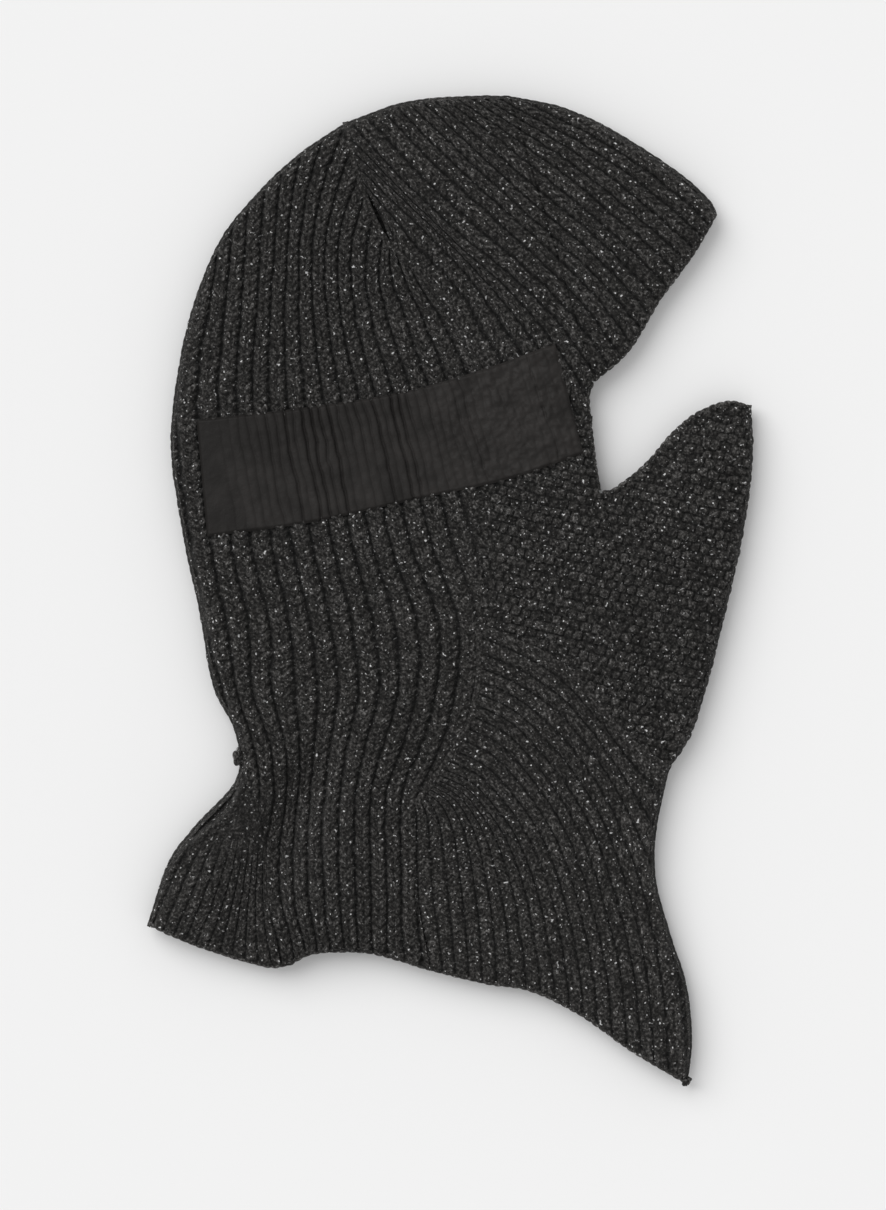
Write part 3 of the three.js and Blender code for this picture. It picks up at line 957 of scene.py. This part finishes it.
# Each open edge: curves, side that the garment is on, stitch pitch and relief.
EDGE_PIECES = {
    "hem_edge": (["hemBack", "hemFront"], 1, 3.7, 0.5),
    "face_edge": (["faceTop", "faceLow"], -1, 3.2, 0.55),
    "mask_top_edge": (["maskTop"], -1, 3.4, 0.6),
    "brim_edge": (["brimEdge"], 1, 3.7, 0.55),
}
for layer in (UPPER, LOWER):
    for name, (curves, inward, pitch, relief) in EDGE_PIECES.items():
        full = f"{name}_{layer}"
        shown[full] = edge_piece(f"{full}_knit", curves, inward, layer, pitch, relief, lit_wool_edge)

# Each seam: curve, width and height.
SEAM_PITCH = 3.4
SEAM_PIECES = {
    "jaw_seam": ("jaw", 3.2, 1.7),
    "mitre_seam": ("mitre", 3.0, 1.5),
    "crown_dart": ("dart", 2.6, 0.8),
}
for layer in (UPPER, LOWER):
    for name, (curve, width, stand) in SEAM_PIECES.items():
        full = f"{name}_{layer}"
        shown[full] = seam_piece(f"{full}_knit", curve, layer, width, stand, SEAM_PITCH, wool)


# ---------- the coated ear patches ----------
PATCH_LENGTH, PATCH_WIDTH = 160, 48
WRINKLE_PITCH = 3.9
WRINKLE_DEPTH, WRINKLE_WIDTH = 0.95, 0.5
PEBBLES = 1.5          # height of the pebbly grain
RIM_DEPTH, RIM_WIDTH = 1.2, 1.2
LOWEST = 0.1           # nothing of the lower patch comes nearer to the surface than this


def patch_piece(layer):
    """A sheet bonded over the ribs: smooth at the back, creased in its middle, pebbly towards the face."""
    sides = []
    u, v = np.linspace(0, 1, 381), np.linspace(0, 1, 121)
    for side in (catmull(PATCH_LOW, 24)[::-1], catmull(PATCH_TOP, 24)):
        s = lengths(side) / lengths(side)[-1]
        sides.append(np.stack([np.interp(u, s, side[:, k]) for k in (0, 1)], axis=1))
    low, top = sides
    flat = (low[:, None] * (1 - v[None, :, None]) + top[:, None] * v[None, :, None]).reshape(-1, 2)
    U, V = np.repeat(u, len(v)), np.tile(v, len(u))
    wander = 1.6 * lumps(flat, 9) + 0.8 * lumps(flat, 3.5, 1) + 3 * (V - 0.5)
    phase = (U * PATCH_LENGTH + wander) / WRINKLE_PITCH
    line = np.round(phase)
    away = np.abs(phase - line) * WRINKLE_PITCH
    number = hashed(line, 3)
    creased = smooth(0.03, 0.16, U) * (1 - 0.55 * smooth(0.62, 0.9, U))
    deep = 0.3 + 1.0 * number**2 + 0.5 * bump(flat, (-45, 72), 26, 10, 10)
    relief = -WRINKLE_DEPTH * creased * deep * np.exp(-(away / WRINKLE_WIDTH)**2)
    relief -= 0.12 * creased * np.cos(2 * math.pi * away / WRINKLE_PITCH)
    pebbly = 0.22 + 0.78 * smooth(0.5, 0.85, U)
    relief += pebbly * (0.8 * lumps(flat, 2.4) + 0.5 * lumps(flat, 1.4, 1)) * PEBBLES
    rim = np.minimum(np.minimum(U, 1 - U) * PATCH_LENGTH, np.minimum(V, 1 - V) * PATCH_WIDTH)
    relief -= RIM_DEPTH * (1 - smooth(0, RIM_WIDTH, rim))
    stand = RIB_RELIEF * 0.7 + PATCH_STAND if layer == UPPER else 0.9
    work = Patchwork()
    faces = quads(len(u), len(v))
    if layer == LOWER:
        faces = faces[:, ::-1]
    points = layer_points(flat, stand + relief, layer)
    points[:, 2] = np.maximum(points[:, 2], LOWEST)
    work.add(points, faces, relief + 1, number, flat.copy())
    return work.build(f"ear_patch_{layer}_coating", coating)


for layer in (UPPER, LOWER):
    shown[f"ear_patch_{layer}"] = patch_piece(layer)


# ---------- the gathered knot at the nape ----------
GATHER_CENTRE = np.array([-88.9, -70, 8.2])
GATHER_RADII = np.array([2.4, 3.8, 4.6])
GATHER_ROUND, GATHER_RINGS = 41, 20


def gather_piece():
    turns, rings = np.meshgrid(np.linspace(0, 2 * math.pi, GATHER_ROUND),
                               np.linspace(0, math.pi, GATHER_RINGS), indexing="ij")
    t, r = turns.ravel(), rings.ravel()
    lobes = 1 + 0.12 * np.sin(5 * t + 3 * np.cos(r))
    ball = np.stack([np.sin(r) * np.cos(t), np.sin(r) * np.sin(t), np.cos(r)], axis=1)
    points = ball * GATHER_RADII * lobes[:, None]
    work = Patchwork()
    nothing = np.zeros(len(points))
    faces = quads(GATHER_ROUND, GATHER_RINGS)[:, ::-1]
    # A high share: the material paints almost no groove shade on the gather.
    work.add(points + GATHER_CENTRE, faces, nothing + 0.9, nothing + 0.7, points[:, :2].copy())
    return work.build("nape_gather_knit", lit_wool_edge)


shown["nape_gather"] = gather_piece()

# ---------- each piece hides its CAD part; all but the flaps' pieces go on the hood's body ---
SLOTS = {"ear_patch": "coated_patch", "edge": "knit_edge", "nape_gather": "knit_edge"}
FLAPS = {
    "mask": ("maskFold", ("mask_panel", "mask_top_edge", "mask_front_seam")),
    "brim": ("brimFold", ("brim_panel", "brim_edge", "brim_top_fold")),
}
BEND = 40  # distance into a flap from the middle of its fold line, for a point that is worked out and not used


def flap_of(name):
    """The flap that a piece turns back with, and the curve it turns on."""
    for flap, (curve, parts) in FLAPS.items():
        if name.startswith(parts):
            return flap, curve
    return None, None


for name, piece in shown.items():
    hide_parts(name)
    next((slot for part, slot in SLOTS.items() if part in name), "knit")
    flap, curve = flap_of(name)
    if flap is None:
        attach(piece, "hood")
        continue
    one, two = np.array(CURVES[curve][0], float), np.array(CURVES[curve][-1], float)
    along = (two - one) / np.linalg.norm(two - one)
    across = np.array([-along[1], along[0]])
    if across[0] < 0:
        across = -across
    middle = (one + two) / 2
    start, end = middle * MM, (middle + across * BEND) * MM
    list(start)
    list(end)
    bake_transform(piece)

for layer in (UPPER, LOWER):
    rests = shown[f"head_panel_{layer}"].name
    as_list(rests)

# The width and length across each knit panel's own curves are worked out here but not kept.
PANEL_CURVES = {
    "head_panel": ("back", "dart", "faceLow", "maskFold", "jaw", "mitre", "neckSplit", "hemBack"),
    "brow_panel": ("crownTop", "brimFold", "faceTop", "dart"),
    "brim_panel": ("brimTop", "brimEdge", "brimFold"),
    "mask_panel": ("maskTop", "maskFront", "maskFold"),
    "neck_front_panel": ("jaw", "neckFront", "hemFront", "neckSplit", "mitre"),
}
for name, curves in PANEL_CURVES.items():
    loop = outline(*curves) * MM
    width, length = loop.max(axis=0) - loop.min(axis=0)
    under = shown[f"{name}_{LOWER}"]
    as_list(under.name)


# ---------- floor, light and camera ----------
def plain_material(name, colour, roughness):
    material = bpy.data.materials.new(name)
    material.use_nodes = True
    main = material.node_tree.nodes["Principled BSDF"]
    main.inputs["Base Color"].default_value = (*colour, 1)
    main.inputs["Roughness"].default_value = roughness
    main.inputs["Specular IOR Level"].default_value = 0.1
    return material


FLOOR_COLOUR = (0.82, 0.82, 0.82)
FLOOR_SIZE, FLOOR_DROP = 12, 0.0003
bpy.ops.mesh.primitive_plane_add(size=FLOOR_SIZE, location=(0, 0, -FLOOR_DROP))
floor = bpy.context.object
floor.name = "studio_floor"
floor.data.materials.append(plain_material("studio_floor", FLOOR_COLOUR, 0.9))

ROOM_LIGHT = 0.70
scene = bpy.context.scene
world = bpy.data.worlds.new("studio_world")
scene.world = world
world.use_nodes = True
world.node_tree.nodes["Background"].inputs["Color"].default_value = (1, 1, 1, 1)
world.node_tree.nodes["Background"].inputs["Strength"].default_value = ROOM_LIGHT


def soft_light(name, direction, spread, strength):
    """Broad light from far away, so that it falls on the whole garment alike."""
    data = bpy.data.lights.new(name, "SUN")
    data.angle = math.radians(spread)
    data.energy = strength
    light = bpy.data.objects.new(name, data)
    light.rotation_euler = Vector(direction).to_track_quat("Z", "Y").to_euler()
    scene.collection.objects.link(light)


KEY_FROM, KEY_SPREAD, KEY_STRENGTH = (-0.52, 0.5, 0.75), 50, 1.68
soft_light("key_light", KEY_FROM, KEY_SPREAD, KEY_STRENGTH)

CAMERA_HEIGHT = 2.5
GARMENT_MIDDLE = 0.01     # height that the view's scale is set at
VIEW_LENGTH = 0.5082      # what the picture's long side spans at the garment's middle height
VIEW_CENTRE = (-0.00294, -0.00609)
SENSOR = 36
camera_data = bpy.data.cameras.new("camera")
camera_data.sensor_width = SENSOR
camera_data.lens = SENSOR * (CAMERA_HEIGHT - GARMENT_MIDDLE) / VIEW_LENGTH
camera_data.clip_end = 20
camera = bpy.data.objects.new("camera", camera_data)
camera.location = (*VIEW_CENTRE, CAMERA_HEIGHT)
scene.collection.objects.link(camera)
scene.camera = camera
scene.view_settings.view_transform = "Standard"
